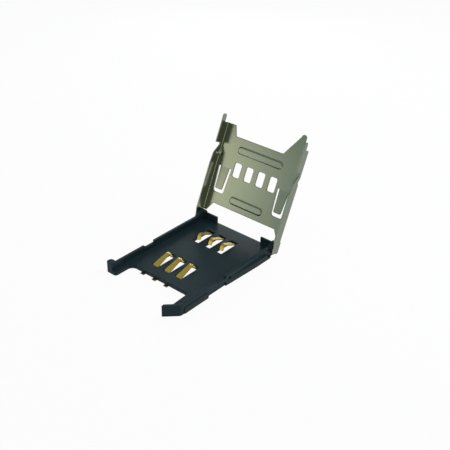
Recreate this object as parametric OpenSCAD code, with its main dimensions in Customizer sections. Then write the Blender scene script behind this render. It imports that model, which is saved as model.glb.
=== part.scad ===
// Hinged-cover socket for a 25 x 15 mm SIM card.
// A moulded housing holds six spring contacts, and a folded sheet cover swings on it.
// Millimetres, Z up, board plane at Z = 0, card entry towards -Y, hinge towards +Y.
// The cover stands open, as it does when a card is laid in.

/* [Card] */
// width of the card across the socket
card_w = 15; // [14:0.1:16]
// length of the card along the socket
card_l = 25; // [24:0.1:26]
// leg of the card's cut corner
card_cut = 3; // [2.5:0.1:3.5]
// play between the card and each wall
card_play = 0.05; // [0.02:0.01:0.12]
// play between the card's cut corner and the angled wall
cut_play = 0.46; // [0.3:0.02:0.5]
// how far the card sits towards the entry end
card_shift = 0.1; // [0:0.05:0.3]

/* [Housing] */
// thickness of the floor
floor_t = 0.65; // [0.5:0.05:0.9]
// height of the side walls over the floor
wall_h = 1.2; // [1:0.05:1.5]
// thickness of the side walls
wall_t = 0.45; // [0.35:0.05:0.6]
// thickness of the end walls at the hinge end
end_wall_t = 0.3; // [0.25:0.05:0.5]
// gap between the two end walls
end_gap = 9.7; // [8:0.1:11]
// thickness of the low skirt outside each wall, at the hinge end
skirt_t = 0.36; // [0.2:0.02:0.4]
// length over which the skirt grows to that thickness
skirt_taper_l = 7.8; // [6:0.1:9]
// height of the skirt over the board
skirt_h = 1; // [0.7:0.05:1.2]
// length of the low ledge at the skirt's hinge end
ledge_l = 0.9; // [0.5:0.1:1.4]
// height of that ledge over the board
ledge_h = 0.45; // [0.3:0.05:0.6]
// thickness of the low lug beside each arm
lug_t = 0.12; // [0.06:0.02:0.2]
// edge of the floor at the entry end
entry_edge = -6.25; // [-6.6:0.05:-5.9]
// fillet between the entry edge and the left arm
entry_fillet = 1; // [0.6:0.1:1.3]
// width of the left arm
left_arm_w = 1.25; // [1:0.05:1.6]
// end of the left arm
left_arm_end = -9.9; // [-10.4:0.1:-9.2]
// how far the block at the left arm's end stands out of the wall
arm_block_out = 1; // [0.7:0.05:1.2]
// length of that block
arm_block_l = 1.2; // [1.1:0.05:1.5]
// rounding of that block's corners
arm_block_r = 0.5; // [0.3:0.05:0.5]
// width of the right arm
right_arm_w = 2.5; // [2:0.1:3]
// thickness of the angled wall across the cut corner
foot_wall_t = 0.57; // [0.45:0.02:0.8]
// how far the right arm narrows towards its foot
foot_taper = 0.35; // [0.2:0.05:0.6]
// rounding of the foot's tip
foot_tip_r = 0.15; // [0.1:0.05:0.3]
// rounding between the foot and the right side
foot_side_r = 0.8; // [0.4:0.1:1.2]

/* [Latch] */
// near end of the latch recess in each side
recess_near = -4.4; // [-4.8:0.1:-3.8]
// far end of the latch recess
recess_far = -0.2; // [-0.6:0.1:0]
// height of the latch recess over the board
recess_h = 0.9; // [0.7:0.05:1]
// material left between the recess and the card pocket
recess_skin = 0.2; // [0.12:0.02:0.25]
// length of the finger notch in each wall top
notch_l = 2.3; // [1.5:0.1:3]
// depth of the finger notch
notch_d = 0.4; // [0.2:0.05:0.6]
// middle of the detent bumps from the hinge axis
bump_pos = 11.3; // [11:0.05:11.6]
// depth of the detent bumps below the plate
bump_depth = 0.75; // [0.7:0.05:0.85]
// radius of the detent bump on each flange
bump_r = 0.3; // [0.2:0.05:0.35]
// radius of the detent bump's tip
bump_tip_r = 0.12; // [0.06:0.02:0.16]
// height of the detent bump
bump_h = 0.4; // [0.3:0.02:0.42]

/* [Contacts] */
// pitch of the contacts across the card
contact_pitch = 2.54; // [2.3:0.02:2.7]
// distance between the crowns of the two contact rows
row_pitch = 8.1; // [7.7:0.05:8.3]
// far row from the card's far end
far_row_inset = 5.3; // [5:0.05:5.5]
// middle contact from the card's left edge
middle_inset = 6.34; // [6:0.02:6.6]
// width of a contact spring at its root
spring_w = 1.2; // [1:0.05:1.3]
// width of a contact spring past its tip
tip_w = 0.6; // [0.4:0.05:0.8]
// width of a solder tail
tail_w = 0.7; // [0.5:0.05:0.8]
// how far a tail stands left of its spring's middle
tail_shift = 0.35; // [0.2:0.05:0.38]
// thickness of the contact strip
strip_t = 0.15; // [0.1:0.01:0.18]
// free height of a contact over the floor
spring_h = 0.8; // [0.6:0.05:0.9]
// radius of the contact's crown
crown_r = 0.5; // [0.4:0.05:0.6]
// depth of a spring's root below the floor's top
root_drop = 0.15; // [0.1:0.01:0.2]
// length of the bend from a tail up to the spring's root
root_l = 0.35; // [0.3:0.05:0.5]
// gap between that bend and the end of the slot
root_gap = 0.12; // [0.1:0.01:0.16]
// slope of the contact's turned-down tip
tip_slope = 60; // [50:1:70]
// length of the turned-down tip
tip_l = 0.6; // [0.4:0.05:0.7]
// length of a tail outside the housing
tail_l = 0.5; // [0.3:0.05:0.7]
// width of the slots in the floor
slot_w = 1.5; // [1.4:0.05:1.7]
// length of the slots
slot_l = 4.35; // [4.2:0.05:4.6]
// slot length past the crown of a near contact
near_tip_room = 1.05; // [1:0.05:1.2]
// slot length past the crown of a far contact
far_tip_room = 1.6; // [1.2:0.05:1.8]
// side play of a tail in its groove
groove_play = 0.04; // [0.02:0.01:0.08]

/* [Cover] */
// thickness of the cover sheet
sheet_t = 0.2; // [0.15:0.01:0.25]
// gap between each flange and the skirt
flange_gap = 0.09; // [0.07:0.01:0.15]
// gap between the closed plate and the wall tops
plate_gap = 0.03; // [0.02:0.01:0.08]
// depth of the flanges below the plate
flange_d = 1.8; // [1.6:0.02:1.82]
// outside radius of the folds
fold_r = 0.32; // [0.28:0.02:0.4]
// how far the cover is swung open
open_angle = 114; // [95:1:118]
// hinge end of the plate from the hinge axis
plate_start = 2.74; // [2.5:0.02:3]
// front edge of the plate from the hinge axis
plate_end = 15.1; // [14.7:0.05:15.5]
// front ends of the flanges' folds from the hinge axis
fold_end = 16.9; // [16.4:0.1:17.4]
// hinge ends of the folds from the hinge axis
fold_start = 1.1; // [1.1:0.05:1.4]
// width of the strip left beside each fold at the hinge end
strip_w = 0.65; // [0.5:0.05:0.9]
// width of the sloping corner beside that strip
rear_slope_w = 1.05; // [0.7:0.05:1.3]
// end of the right tab from the hinge axis
tab_end = 19.2; // [18.6:0.1:19.6]
// width of the right tab's end
tab_tip_w = 0.95; // [0.6:0.05:1.2]
// left foot of the right tab's slope
tab_foot = 4.1; // [3.6:0.1:4.6]
// slit between the right tab and the flange
tab_slit = 0.95; // [0.6:0.05:1.1]
// width of the left front corner
corner_w = 1.95; // [1.5:0.05:2.4]
// setback of the front edge's left end from that corner
corner_slope = 0.7; // [0.3:0.05:1]

/* [Cover windows] */
// number of windows in the row, at the contacts' pitch
window_count = 4; // [2:1:4]
// width of a window
window_w = 1.5; // [1.2:0.05:1.7]
// hinge end of the windows
window_start = 8.3; // [8:0.05:8.6]
// length of a window
window_l = 2.55; // [2.2:0.05:2.8]
// corner radius of a window
window_r = 0.35; // [0.1:0.05:0.5]
// middle of each spring tongue from the middle of the cover
tongue_x = 6.4; // [6.3:0.05:6.5]
// width of a spring tongue at its root
tongue_root_w = 1.9; // [1.7:0.05:2]
// width of a spring tongue at its free end
tongue_tip_w = 1.45; // [1.2:0.05:1.7]
// free end of the tongues
tongue_end = 5.4; // [5.2:0.05:5.6]
// length of the tongues
tongue_l = 4; // [3.4:0.1:4.4]
// width of the slot beside a tongue
tongue_slot = 0.42; // [0.3:0.01:0.45]
// width of the slot at a tongue's free end
tongue_room = 0.65; // [0.4:0.05:0.8]
// rounding of the tongues' free corners
tongue_r = 0.25; // [0.1:0.05:0.4]
// rounding of the openings round the tongues
tongue_hole_r = 0.5; // [0.2:0.05:0.6]
// angle of the tongues' bend towards the card
tongue_bend = 3; // [2:0.5:5]

/* [Cover ribs] */
// half length of the rib by the hinge
low_rib_half = 3.55; // [3:0.05:4.2]
// middle of the rib by the hinge
low_rib_y = 4.4; // [4.2:0.05:4.6]
// half length of the rib by the front edge
high_rib_half = 4.8; // [4.2:0.05:5.2]
// middle of the rib by the front edge
high_rib_y = 13.05; // [12.7:0.05:13.4]
// width of the ribs
rib_w = 1.35; // [1:0.05:1.5]
// depth of the ribs towards the card
rib_d = 0.15; // [0.08:0.01:0.18]
// width of the ribs' sloping sides
rib_slope = 0.2; // [0.1:0.02:0.3]

/* [Fold dents] */
// middle of the dent pressed into each fold
dent_pos = 11.6; // [11.3:0.05:11.9]
// radius of the dents
dent_r = 0.9; // [0.7:0.05:1.1]
// depth of the dents
dent_d = 0.35; // [0.2:0.05:0.4]

/* [Flange outline] */
// start of the slope behind the flange notch
flange_slope_start = 9.3; // [8.8:0.1:9.8]
// length of the steep part of that slope
flange_knee = 1.4; // [1:0.1:1.8]
// rise of the free edge before that steep part
flange_lift = 0.2; // [0.1:0.02:0.3]
// near side of the flange notch
flange_notch = 13.2; // [12.9:0.1:13.6]
// length of the notch's floor
flange_notch_l = 0.5; // [0.3:0.05:0.8]
// depth of flange left above the notch
flange_notch_d = 0.6; // [0.4:0.05:0.9]
// length of the flange's front tip
flange_tip_l = 1.4; // [1:0.1:1.7]
// width of the flange's front tip
flange_tip_w = 0.9; // [0.7:0.05:1.1]

/* [Hinge] */
// hinge axis from the far end of the card pocket
hinge_inset = 0.45; // [0.3:0.05:0.6]
// hinge axis below the plate's inner face
hinge_drop = 0.5; // [0.4:0.05:0.6]
// reach of the hinge ears behind the hinge axis
ear_end = 0.95; // [0.8:0.05:1.05]
// depth of the ears below the hinge axis
ear_low = 1; // [0.8:0.05:1.05]
// rounding of the ears' corners
ear_round = 0.35; // [0.2:0.05:0.5]
// radius of the hinge pins drawn from the ears
pin_r = 0.45; // [0.3:0.05:0.5]
// length of the hinge pins
pin_l = 0.45; // [0.35:0.05:0.5]
// clearance between a pin and its bore
pin_play = 0.05; // [0.03:0.01:0.08]
// radius of the boss round each bore
boss_r = 1.1; // [0.9:0.05:1.12]
// gap between each boss and the ear
boss_gap = 0.05; // [0.04:0.01:0.1]

/* [Hidden] */
$fn = 48;
// steps of a contact's crown
arc_steps = 6;
// reach of the shapes that only cut
far = 40;
pocket_half = card_w / 2 + card_play;
wall_x = pocket_half + wall_t;
skirt_x = wall_x + skirt_t;
flange_in = skirt_x + flange_gap;
flange_out = flange_in + sheet_t;
wall_top = floor_t + wall_h;
card_far = card_l / 2 - card_shift;
card_near = card_far - card_l;
pocket_far = card_far + card_play;
rear_y = pocket_far + end_wall_t;
hinge_y = pocket_far - hinge_inset;
hinge_z = wall_top + plate_gap - hinge_drop;
// distances of the cut corner and the foot's outer face from the origin, square to them
cut_line = (card_w / 2 - card_cut - card_near) / sqrt(2) + cut_play;
foot_out = cut_line + foot_wall_t;
right_arm_in = wall_x - right_arm_w;
foot_in = right_arm_in + foot_taper;
left_arm_in = -wall_x + left_arm_w;
far_row_y = card_far - far_row_inset;
near_row_y = far_row_y - row_pitch;
middle_x = middle_inset - card_w / 2;
crown_z = floor_t + spring_h;
near_slot_far = near_row_y + near_tip_room;
far_slot_near = far_row_y - far_tip_room;
recess_in = pocket_half + recess_skin;
skirt_far = hinge_y - boss_r - boss_gap;
plate_z = hinge_drop;
sheet_top = plate_z + sheet_t;
flange_low = plate_z - flange_d;
tab_right = flange_in - tab_slit;

// rectangle from one corner to the opposite one, with rounded corners
module round_rect(a, b, r) {
    translate([a[0] + r, a[1]])
        square([b[0] - a[0] - 2 * r, b[1] - a[1]]);
    translate([a[0], a[1] + r])
        square([b[0] - a[0], b[1] - a[1] - 2 * r]);
    for (x = [a[0] + r, b[0] - r], y = [a[1] + r, b[1] - r])
        translate([x, y])
            circle(r = r);
}

module box(a, b) {
    translate(a)
        cube(b - a);
}

module both_sides() {
    children();
    mirror([1, 0, 0])
        children();
}

module left_arm_plan() {
    round_rect(
        [-wall_x - arm_block_out, left_arm_end], [left_arm_in, left_arm_end + arm_block_l], arm_block_r
    );
    translate([-wall_x, left_arm_end + arm_block_r])
        square([left_arm_w, entry_edge - left_arm_end]);
    difference() {
        translate([left_arm_in - wall_t, entry_edge - entry_fillet])
            square([entry_fillet + wall_t, entry_fillet + wall_t]);
        translate([left_arm_in + entry_fillet, entry_edge - entry_fillet])
            circle(r = entry_fillet);
    }
}

// the right arm narrows to a foot whose outer face follows the card's cut corner
module right_arm_plan() {
    slant = [1, -1] / sqrt(2);
    tip_x = foot_in + foot_tip_r;
    tip = [tip_x, tip_x - sqrt(2) * (foot_out - foot_tip_r)];
    side_x = wall_x - foot_side_r;
    side = [side_x, side_x - sqrt(2) * (foot_out - foot_side_r)];
    polygon([
        [right_arm_in, entry_edge + wall_t], [right_arm_in, entry_edge], [foot_in, tip[1]],
        tip + foot_tip_r * slant, side + foot_side_r * slant, [wall_x, side[1]], [wall_x, entry_edge + wall_t]
    ]);
    translate(tip)
        circle(r = foot_tip_r);
    translate(side)
        circle(r = foot_side_r);
}

module housing_plan() {
    translate([-wall_x, entry_edge])
        square([2 * wall_x, rear_y - entry_edge]);
    left_arm_plan();
    right_arm_plan();
}

// the card's outline with play, open towards the entry end
module pocket_plan() {
    cut_start = pocket_half - sqrt(2) * cut_line;
    polygon([
        [-pocket_half, -far], [-pocket_half, pocket_far], [pocket_half, pocket_far],
        [pocket_half, cut_start], [pocket_half - far, cut_start - far]
    ]);
}

// low lug beside the arm, and the skirt that widens towards the hinge
module skirt_plan() {
    lug_near = wall_x - sqrt(2) * foot_out + foot_side_r;
    translate([wall_x - wall_t, lug_near])
        square([wall_t + lug_t, recess_near - lug_near]);
    polygon([
        [wall_x - wall_t, recess_far], [wall_x, recess_far], [skirt_x, recess_far + skirt_taper_l],
        [skirt_x, skirt_far], [wall_x - wall_t, skirt_far]
    ]);
}

module skirt() {
    difference() {
        linear_extrude(height = skirt_h)
            skirt_plan();
        box([wall_x, skirt_far - ledge_l, ledge_h], [far, far, far]);
    }
}

module hinge_boss() {
    translate([wall_x - wall_t, hinge_y, hinge_z])
        rotate([0, 90, 0])
            cylinder(r = boss_r, h = flange_in - boss_gap - wall_x + wall_t);
}

module hinge_bore() {
    translate([flange_in - pin_l - pin_play, hinge_y, hinge_z])
        rotate([0, 90, 0])
            cylinder(r = pin_r + pin_play, h = far);
}

// recess for the flange's front part, notch in the wall top, and hole for the detent bump
module latch_recess() {
    box([recess_in, recess_near, -far], [far, recess_far, recess_h]);
    box([0, recess_far - notch_l, wall_top - notch_d], [far, recess_far, far]);
    translate([0, hinge_y - bump_pos, hinge_z + plate_z - bump_depth])
        rotate([0, 90, 0])
            cylinder(r = bump_r, h = far);
}

// a slot with the tail's groove under the floor, drawn for a tail towards -Y
module contact_opening(slot_near, edge) {
    box([-slot_w / 2, slot_near, -far], [slot_w / 2, slot_near + slot_l, floor_t + far]);
    groove = tail_w / 2 + groove_play;
    box([-tail_shift - groove, edge - far, -far], [groove - tail_shift, slot_near + slot_l / 2, strip_t]);
}

module contact_openings() {
    for (i = [-1, 0, 1])
        translate([middle_x + i * contact_pitch, 0, 0]) {
            contact_opening(near_slot_far - slot_l, entry_edge);
            mirror([0, 1, 0])
                contact_opening(-far_slot_near - slot_l, -rear_y);
        }
}

module base_housing() {
    color([0.15, 0.19, 0.21])
        difference() {
            union() {
                difference() {
                    linear_extrude(height = wall_top)
                        housing_plan();
                    translate([0, 0, floor_t])
                        linear_extrude(height = far)
                            pocket_plan();
                    box([-end_gap / 2, 0, floor_t], [end_gap / 2, far, far]);
                }
                both_sides() {
                    skirt();
                    hinge_boss();
                }
            }
            both_sides() {
                hinge_bore();
                latch_recess();
            }
            contact_openings();
        }
}

// middle line of a contact in [y, z], tail to tip, for a crown at y = 0
function contact_path(run, tail_end) =
    let (low = strip_t / 2, root = floor_t - root_drop, top = crown_z - strip_t / 2)
    let (bend = root_gap - run, knee = bend + root_l)
    let (slope = atan2(top - root, -knee), turned = slope + tip_slope)
    concat(
        [[tail_end, low], [bend, low], [knee, root]],
        [for (i = [0:arc_steps]) let (a = 90 + slope - i * turned / arc_steps)
            [crown_r * cos(a), top - crown_r + crown_r * sin(a)]],
        [[crown_r * sin(tip_slope) + tip_l * cos(tip_slope),
            top - crown_r + crown_r * cos(tip_slope) - tip_l * sin(tip_slope)]]
    );

function unit(v) = v / norm(v);
function turn(v) = [-v[1], v[0]];
// points of a path moved sideways by d, mitred at the bends
function beside(path, d) = [for (i = [0:len(path) - 1])
    let (n1 = turn(unit(path[max(i, 1)] - path[max(i, 1) - 1])))
    let (k = min(i, len(path) - 2), n2 = turn(unit(path[k + 1] - path[k])))
    path[i] + d * (n1 + n2) / (1 + n1 * n2)];

module contact_profile(path) {
    left = beside(path, strip_t / 2);
    right = beside(path, -strip_t / 2);
    n = len(path);
    polygon(concat(left, [for (i = [0:n - 1]) right[n - 1 - i]]));
}

module strip(path, width) {
    rotate([90, 0, 90])
        translate([0, 0, -width / 2])
            linear_extrude(height = width)
                contact_profile(path);
}

// one strip: a narrow solder tail under the floor, then the tapering spring in its slot
module contact(run, edge) {
    path = contact_path(run, edge - tail_l);
    root_y = root_gap / 2 - run;
    tip_y = crown_r + tip_l;
    color([0.75, 0.62, 0.25]) {
        intersection() {
            strip(path, spring_w);
            linear_extrude(height = far)
                polygon([
                    [-spring_w / 2, root_y], [spring_w / 2, root_y], [tip_w / 2, tip_y], [-tip_w / 2, tip_y]
                ]);
        }
        translate([-tail_shift, 0, 0])
            strip([path[0], path[1]], tail_w);
    }
}

module contact_near(i) {
    translate([middle_x + i * contact_pitch, near_row_y, 0])
        contact(slot_l - near_tip_room, entry_edge - near_row_y);
}

module contact_far(i) {
    translate([middle_x + i * contact_pitch, far_row_y, 0])
        mirror([0, 1, 0])
            contact(slot_l - far_tip_room, far_row_y - rear_y);
}

// outline of the plate in [x, distance from the hinge axis]
module plate_plan() {
    shoulder = flange_in - strip_w;
    rear_half = shoulder - rear_slope_w;
    right_slope = tab_right - tab_tip_w;
    polygon([
        [-flange_out, fold_start], [-shoulder, fold_start], [-rear_half, plate_start],
        [rear_half, plate_start], [shoulder, fold_start], [flange_out, fold_start],
        [flange_out, fold_end], [tab_right, fold_end], [tab_right, tab_end - tab_tip_w / 2],
        [right_slope, tab_end - tab_tip_w / 2], [tab_foot, plate_end],
        [-flange_out + corner_w + corner_slope, plate_end], [-flange_out + corner_w, fold_end],
        [-flange_out, fold_end]
    ]);
    translate([tab_right - tab_tip_w / 2, tab_end - tab_tip_w / 2])
        circle(r = tab_tip_w / 2);
}

// a spring tongue's outline from its root, y = 0, to its free end with corners of radius r
module tongue_plan(margin, end, r) {
    root_half = tongue_root_w / 2 + margin;
    taper = (tongue_root_w - tongue_tip_w) / (2 * tongue_l);
    side = root_half - taper * (end - r);
    polygon([
        [-root_half, 0], [root_half, 0], [side, end - r], [side - r, end], [r - side, end], [-side, end - r]
    ]);
    for (x = [r - side, side - r])
        translate([x, end - r])
            circle(r = r);
}

// openings in the plate in [x, distance from the hinge axis]
module openings_plan() {
    middle = (window_count - 1) / 2;
    for (i = [0:window_count - 1])
        translate([(i - middle) * contact_pitch, 0])
            round_rect([-window_w / 2, window_start], [window_w / 2, window_start + window_l], window_r);
    both_sides()
        translate([tongue_x, tongue_end + tongue_l])
            mirror([0, 1])
                tongue_plan(tongue_slot, tongue_l + tongue_room, tongue_hole_r);
}

// spring tongue: its root runs into the plate, its free end is bent in towards the card
module tongue() {
    drop = tongue_l * tan(tongue_bend);
    translate([tongue_x, -tongue_end - tongue_l, plate_z])
        intersection() {
            translate([-tongue_root_w / 2, 0, 0])
                rotate([90, 0, 90])
                    linear_extrude(height = tongue_root_w)
                        polygon([
                            [-sheet_t, 0], [0, 0], [tongue_l, -drop],
                            [tongue_l, sheet_t - drop], [0, sheet_t], [-sheet_t, sheet_t]
                        ]);
            translate([0, 0, -far])
                linear_extrude(height = 2 * far) {
                    tongue_plan(0, tongue_l, tongue_r);
                    translate([-tongue_root_w / 2, -sheet_t])
                        square([tongue_root_w, sheet_t]);
                }
        }
}

// pressed rib with sloping sides and round ends, drawn down from z = 0
module rib(half, y) {
    high = rib_w / 2;
    low = high - rib_slope;
    run = half - high;
    translate([0, -y, 0]) {
        for (x = [-run, run])
            translate([x, 0, -rib_d])
                cylinder(r1 = low, r2 = high, h = rib_d);
        translate([-run, 0, 0])
            rotate([90, 0, 90])
                linear_extrude(height = 2 * run)
                    polygon([[-high, 0], [high, 0], [low, -rib_d], [-low, -rib_d]]);
    }
}

module ribs() {
    rib(low_rib_half, low_rib_y);
    rib(high_rib_half, high_rib_y);
}

// rod across a fold, at 45 degrees to both of its faces, that presses the dent
module dent_rod(r) {
    stand_off = (dent_r - dent_d) / sqrt(2);
    translate([flange_out + stand_off, -dent_pos, sheet_top + stand_off])
        rotate([0, -45, 0])
            translate([0, 0, -far])
                cylinder(r = r, h = 2 * far);
}

module fold_gusset() {
    intersection() {
        dent_rod(dent_r + sheet_t);
        box([0, -far, -far], [flange_in, 0, plate_z]);
    }
}

// the material outside a fold's outer radius
module fold_outside() {
    difference() {
        box([flange_out - fold_r, -far, sheet_top - fold_r], [far, -fold_start, far]);
        translate([flange_out - fold_r, -far, sheet_top - fold_r])
            rotate([-90, 0, 0])
                cylinder(r = fold_r, h = far);
    }
}

// fillet inside a fold
module fold_fillet() {
    r = fold_r - sheet_t;
    difference() {
        box(
            [flange_in - r, -fold_end, plate_z - r],
            [flange_in + sheet_t / 2, -fold_start, plate_z + sheet_t / 2]
        );
        translate([flange_in - r, -far, plate_z - r])
            rotate([-90, 0, 0])
                cylinder(r = r, h = far);
    }
}

// side flange in [distance from the hinge axis, height over it]
module flange_plan() {
    notch_z = plate_z - flange_notch_d;
    notch_in = flange_notch - flange_notch_l;
    tip_end = fold_end + flange_tip_l;
    tip_r = flange_tip_w / 2;
    polygon([
        [fold_start, sheet_top], [fold_end, sheet_top], [fold_end, flange_low + flange_tip_w],
        [tip_end - tip_r, flange_low + flange_tip_w], [tip_end - tip_r, flange_low],
        [flange_notch, flange_low], [flange_notch, notch_z], [notch_in, notch_z],
        [notch_in - flange_knee, flange_low + flange_lift], [flange_slope_start, flange_low],
        [fold_start, flange_low], [0, -ear_low], [0, plate_z]
    ]);
    translate([tip_end - tip_r, flange_low + tip_r])
        circle(r = tip_r);
    round_rect([-ear_end, -ear_low], [fold_start + ear_round, sheet_top], ear_round);
}

// cover laid shut: its plate runs from the hinge axis towards -Y
module cover_plate() {
    difference() {
        union() {
            translate([0, 0, plate_z])
                linear_extrude(height = sheet_t)
                    mirror([0, 1])
                        difference() {
                            plate_plan();
                            openings_plan();
                        }
            translate([0, 0, plate_z])
                ribs();
        }
        translate([0, 0, sheet_top])
            ribs();
    }
    both_sides()
        tongue();
}

module cover_flange() {
    translate([flange_in, 0, 0])
        rotate([90, 0, 90])
            linear_extrude(height = sheet_t)
                mirror([1, 0])
                    flange_plan();
    translate([flange_in - pin_l, 0, 0])
        rotate([0, 90, 0])
            cylinder(r = pin_r, h = pin_l + sheet_t / 2);
    translate([flange_in - bump_h, -bump_pos, plate_z - bump_depth])
        rotate([0, 90, 0])
            cylinder(r1 = bump_tip_r, r2 = bump_r, h = bump_h);
    fold_fillet();
    fold_gusset();
}

module cover_shut() {
    difference() {
        union() {
            cover_plate();
            both_sides()
                cover_flange();
        }
        both_sides() {
            fold_outside();
            dent_rod(dent_r);
        }
    }
}

module cover() {
    color([0.58, 0.62, 0.52])
        translate([0, hinge_y, hinge_z])
            rotate([-open_angle, 0, 0])
                cover_shut();
}

base_housing();
cover();
contact_near(-1);  // contact_near_left
contact_near(0);  // contact_near_middle
contact_near(1);  // contact_near_right
contact_far(-1);  // contact_far_left
contact_far(0);  // contact_far_middle
contact_far(1);  // contact_far_right
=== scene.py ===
from math import cos, radians, sin

import bpy
from mathutils import Matrix, Vector

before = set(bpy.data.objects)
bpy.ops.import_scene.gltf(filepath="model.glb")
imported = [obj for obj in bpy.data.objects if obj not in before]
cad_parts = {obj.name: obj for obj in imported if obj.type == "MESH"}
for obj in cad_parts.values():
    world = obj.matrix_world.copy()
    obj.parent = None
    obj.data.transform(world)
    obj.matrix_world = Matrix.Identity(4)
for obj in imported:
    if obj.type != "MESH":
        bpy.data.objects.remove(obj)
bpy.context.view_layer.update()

# Housing
# One moulding in a dark blue-black polymer, with a floor, walls and two arms round the card.
# Its faces are satin, with a fine flow grain along the card's length.

MM = 0.001


class Wire:
    """A socket of one material's nodes, with arithmetic that adds Math nodes."""

    def __init__(self, tree, socket):
        self.tree = tree
        self.socket = socket

    def node(self, kind, settings=None, out=0, **inputs):
        """Adds a node: settings first, then its sockets by name, or by number as in i0."""
        made = self.tree.nodes.new(kind)
        for name, value in (settings or {}).items():
            setattr(made, name, value)
        for name, value in inputs.items():
            key = int(name[1:]) if name[1:].isdigit() else name.replace("_", " ")
            plug(self.tree, made.inputs[key], value)
        return Wire(self.tree, made.outputs[out])

    def maths(self, operation, a, b):
        return self.node("ShaderNodeMath", {"operation": operation}, i0=a, i1=b)

    def __add__(self, other):
        return self.maths("ADD", self, other)

    __radd__ = __add__

    def __mul__(self, other):
        return self.maths("MULTIPLY", self, other)

    __rmul__ = __mul__

    def __sub__(self, other):
        return self.maths("SUBTRACT", self, other)

    def __rsub__(self, other):
        return self.maths("SUBTRACT", other, self)


def plug(tree, socket, value):
    """Links a wire to a socket, or sets the socket to a value."""
    if isinstance(value, Wire):
        tree.links.new(value.socket, socket)
    else:
        socket.default_value = value


def new_finish(name):
    """A material, its main shader and a wire of object coordinates in millimetres."""
    material = bpy.data.materials.new(name)
    material.use_nodes = True
    tree = material.node_tree
    shader = next(n for n in tree.nodes if n.type == "BSDF_PRINCIPLED")
    start = Wire(tree, None)
    place = start.node("ShaderNodeTexCoord", out="Object")
    scaled = start.node("ShaderNodeVectorMath", {"operation": "SCALE"}, Vector=place, Scale=1 / MM)
    return material, shader, scaled


def feed(shader, **sockets):
    """Sets the main shader's sockets to values or wires."""
    for name, value in sockets.items():
        plug(shader.id_data, shader.inputs[name.replace("_", " ")], value)


def stretched(place, ratios):
    """Coordinates scaled differently along each axis, for grain that runs one way."""
    return place.node("ShaderNodeVectorMath", {"operation": "MULTIPLY"}, i0=place, i1=ratios)


def noise(place, per_mm, detail, roughness=0.5):
    """Soft random patches from 0 to 1, with that many to the millimetre."""
    return place.node(
        "ShaderNodeTexNoise", Vector=place, Scale=per_mm, Detail=detail, Roughness=roughness
    )


def blend(place, factor, a, b):
    """Colour a where the factor is 0 and colour b where it is 1."""
    ends = [end if isinstance(end, Wire) else (*end, 1) for end in (a, b)]
    return place.node(
        "ShaderNodeMix", {"data_type": "RGBA"}, out=2, Factor=factor, i6=ends[0], i7=ends[1]
    )


def eased(place, edge, strength, depth, height):
    """A normal with edges eased over some millimetres and a bump of that height on it."""
    soft = place.node("ShaderNodeBevel", {"samples": 8}, Radius=edge * MM)
    return place.node(
        "ShaderNodeBump", Strength=strength, Distance=depth * MM, Height=height, Normal=soft
    )


def dress(node_name, material):
    """Gives a solid its finish."""
    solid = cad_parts[node_name]
    solid.data.materials.clear()
    solid.data.materials.append(material)


HOUSING_DARK = (0.0085, 0.02, 0.025)
HOUSING_PALE = (0.0185, 0.037, 0.044)
HOUSING_EDGE = 0.12
HOUSING_SHINE = 0.1
FLOW_RATIOS = (3, 0.4, 3)
GRAIN_STRENGTH = 0.12
GRAIN_DEPTH = 0.03

housing_finish, shader, place = new_finish("housing_moulding")
cloud = noise(place, 0.22, 4)
flow = noise(stretched(place, FLOW_RATIOS), 1.2, 5, 0.6)
grain = noise(place, 14, 3)
feed(
    shader,
    Base_Color=blend(place, 0.65 * cloud + 0.35 * flow, HOUSING_DARK, HOUSING_PALE),
    Roughness=0.36 + 0.16 * grain,
    Normal=eased(place, HOUSING_EDGE, GRAIN_STRENGTH, GRAIN_DEPTH, grain + 0.5 * flow),
    Specular_IOR_Level=HOUSING_SHINE,
)
dress("base_housing", housing_finish)

# Contacts
# Six strips of spring bronze, stamped and formed, and plated with gold on the springs.
# They are pressed into the housing's grooves, and their duller tails are soldered to the board.

GOLD_DEEP = (0.44, 0.285, 0.02)
GOLD_PALE = (0.76, 0.58, 0.13)
TAIL_BRONZE = (0.16, 0.11, 0.028)
TAIL_TOP = 0.2
SPRING_FOOT = 0.5
STRIP_EDGE = 0.06
ROLL_RATIOS = (22, 0.5, 0.5)
ROLL_STRENGTH = 0.1
ROLL_DEPTH = 0.02

contact_finish, shader, place = new_finish("contact_gold")
roll_marks = noise(stretched(place, ROLL_RATIOS), 1.5, 3)
wear = noise(place, 1.6, 3)
height = place.node("ShaderNodeSeparateXYZ", out="Z", Vector=place)
plated = place.node("ShaderNodeMapRange", Value=height, From_Min=TAIL_TOP, From_Max=SPRING_FOOT)
gold = blend(place, 0.55 * wear + 0.45 * roll_marks, GOLD_DEEP, GOLD_PALE)
feed(
    shader,
    Base_Color=blend(place, plated, TAIL_BRONZE, gold),
    Metallic=1.0,
    Roughness=0.42 + 0.16 * roll_marks - 0.18 * plated,
    Normal=eased(place, STRIP_EDGE, ROLL_STRENGTH, ROLL_DEPTH, roll_marks),
)
for row in ("near", "far"):
    for seat in ("left", "middle", "right"):
        dress(f"contact_{row}_{seat}", contact_finish)

# Cover
# One piece of rolled stainless sheet, pierced, pressed and folded at both sides.
# Its ears are sprung over the housing, and the pins drawn from them turn in its bores.

STEEL_COOL = (0.172, 0.213, 0.168)
STEEL_WARM = (0.262, 0.272, 0.186)
# Strength of a painted reflection: the sheet is painted warmer and lighter towards -X and cooler
# and darker towards +X, in place of reflected light.
PAINTED_REFLECTION_RUN = 0.025
SHEET_EDGE = 0.16
SHEET_RATIOS = (0.5, 9, 9)
SHEET_STRENGTH = 0.03
SHEET_DEPTH = 0.02

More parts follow.
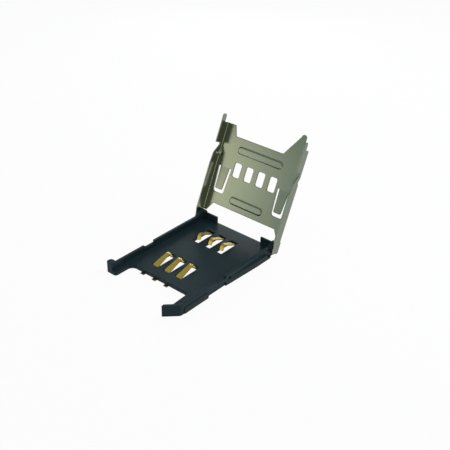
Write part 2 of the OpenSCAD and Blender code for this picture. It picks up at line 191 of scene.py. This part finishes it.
cover_finish, shader, place = new_finish("cover_steel")
sheen = noise(place, 0.16, 2)
rolling = noise(stretched(place, SHEET_RATIOS), 1.4, 4, 0.6)
handling = noise(place, 0.9, 5, 0.6)
across = place.node("ShaderNodeSeparateXYZ", out="X", Vector=place)
# The noises give the sheet a random real tint; the term along X adds painted reflected light, a
# warm light left side and a cool darker right side.
tone_and_painted_reflection = 0.55 * sheen + 0.25 * handling + 0.2 * rolling - PAINTED_REFLECTION_RUN * across
feed(
    shader,
    Base_Color=blend(place, tone_and_painted_reflection, STEEL_COOL, STEEL_WARM),
    Metallic=1.0,
    Roughness=0.17 + 0.06 * rolling + 0.06 * handling,
    Normal=eased(place, SHEET_EDGE, SHEET_STRENGTH, SHEET_DEPTH, rolling),
)
dress("cover", cover_finish)

# Floor, light and camera
# A white table in a room with pale walls and a dimmer ceiling, under four softboxes.
# The camera looks down from beyond the card entry's right corner, as in the photograph.

TABLE_HALF = 2.0
TABLE_GAP = 0.02 * MM
TABLE_GLOW = 0.94
TABLE_WHITE = (0.82, 0.82, 0.82, 1)

bpy.ops.mesh.primitive_plane_add(size=2 * TABLE_HALF, location=(0, 0, -TABLE_GAP))
table = bpy.context.object
table.name = "table"
table_finish, shader, place = new_finish("table_white")
feed(shader, Base_Color=TABLE_WHITE, Roughness=0.9)
path = place.node("ShaderNodeLightPath", out="Is Camera Ray")
mirror = Wire(place.tree, path.socket.node.outputs["Is Glossy Ray"])
through = Wire(place.tree, path.socket.node.outputs["Is Transmission Ray"])
glow = place.node("ShaderNodeEmission", Color=(1, 1, 1, 1), Strength=1.0)
surface = Wire(place.tree, shader.outputs[0])
lit = TABLE_GLOW * (path + mirror + through)
seen = place.node("ShaderNodeMixShader", i0=lit, i1=surface, i2=glow)
output = next(n for n in place.tree.nodes if n.type == "OUTPUT_MATERIAL")
plug(place.tree, output.inputs["Surface"], seen)
table.data.materials.append(table_finish)

ROOM_TINT = (0.93, 1, 1, 1)
CEILING_LIGHT = 0.46
WALL_LIGHT = 1.0
WALL_FADE = 4

scene = bpy.context.scene
world = bpy.data.worlds.new("studio")
scene.world = world
world.use_nodes = True
room = Wire(world.node_tree, None)
way = room.node("ShaderNodeTexCoord", out="Generated")
rise = room.maths("MAXIMUM", room.node("ShaderNodeSeparateXYZ", out="Z", Vector=way), 0.0)
walls = room.maths("POWER", 1 - rise, WALL_FADE)
feed(
    world.node_tree.nodes["Background"],
    Color=ROOM_TINT,
    Strength=CEILING_LIGHT + (WALL_LIGHT - CEILING_LIGHT) * walls,
)


def softbox(name, spot, aim, wide, high, power, colour=(1, 1, 1)):
    """An area lamp that looks from one point at another, sizes in millimetres."""
    lamp = bpy.data.lights.new(name, "AREA")
    lamp.shape = "RECTANGLE"
    lamp.size = wide * MM
    lamp.size_y = high * MM
    lamp.energy = power
    lamp.color = colour
    holder = bpy.data.objects.new(name, lamp)
    scene.collection.objects.link(holder)
    facing = Vector(aim) - Vector(spot)
    holder.location = Vector(spot) * MM
    holder.rotation_euler = facing.to_track_quat("-Z", "Y").to_euler()


KEY_TINT = (1, 0.96, 0.82)
softbox("key_light", (-124, -84, 35), (0, 10, 10), wide=110, high=48, power=0.021, colour=KEY_TINT)
softbox("top_light", (60, 115, 140), (0, 0, 4), wide=120, high=120, power=0.17)
softbox("back_light", (-77, 110, 46), (0, 0, 2), wide=44, high=44, power=0.026)
softbox("front_light", (8, -150, 34), (0, 6, 8), wide=24, high=40, power=0.008)

PHOTO_PIXELS = 450
VIEW_AZIMUTH = radians(39.74)
VIEW_ELEVATION = radians(31.16)
VIEW_ROLL = radians(1.26)
VIEW_DISTANCE = 131.07
VIEW_RIGHT = 5.815
VIEW_UP = 6.165
FOCAL_PIXELS = 807.43
FLOOR_TOP = 0.65
SENSOR_WIDTH = 36
NEAR_CLIP = 5 * MM

outward = cos(VIEW_ELEVATION)
back = Vector((
    sin(VIEW_AZIMUTH) * outward,
    -cos(VIEW_AZIMUTH) * outward,
    sin(VIEW_ELEVATION),
))
level = Vector((cos(VIEW_AZIMUTH), sin(VIEW_AZIMUTH), 0))
upright = back.cross(level)
right = cos(VIEW_ROLL) * level + sin(VIEW_ROLL) * upright
up = cos(VIEW_ROLL) * upright - sin(VIEW_ROLL) * level
target = Vector((0, 0, FLOOR_TOP))
spot = (VIEW_RIGHT * right + VIEW_UP * up + VIEW_DISTANCE * back + target) * MM
camera_data = bpy.data.cameras.new("camera")
camera_data.sensor_width = SENSOR_WIDTH
camera_data.lens = FOCAL_PIXELS * SENSOR_WIDTH / PHOTO_PIXELS
camera_data.clip_start = NEAR_CLIP
camera = bpy.data.objects.new("camera", camera_data)
camera.matrix_world = Matrix.Translation(spot) @ Matrix((right, up, back)).transposed().to_4x4()
scene.collection.objects.link(camera)
scene.camera = camera
scene.view_settings.view_transform = "Standard"
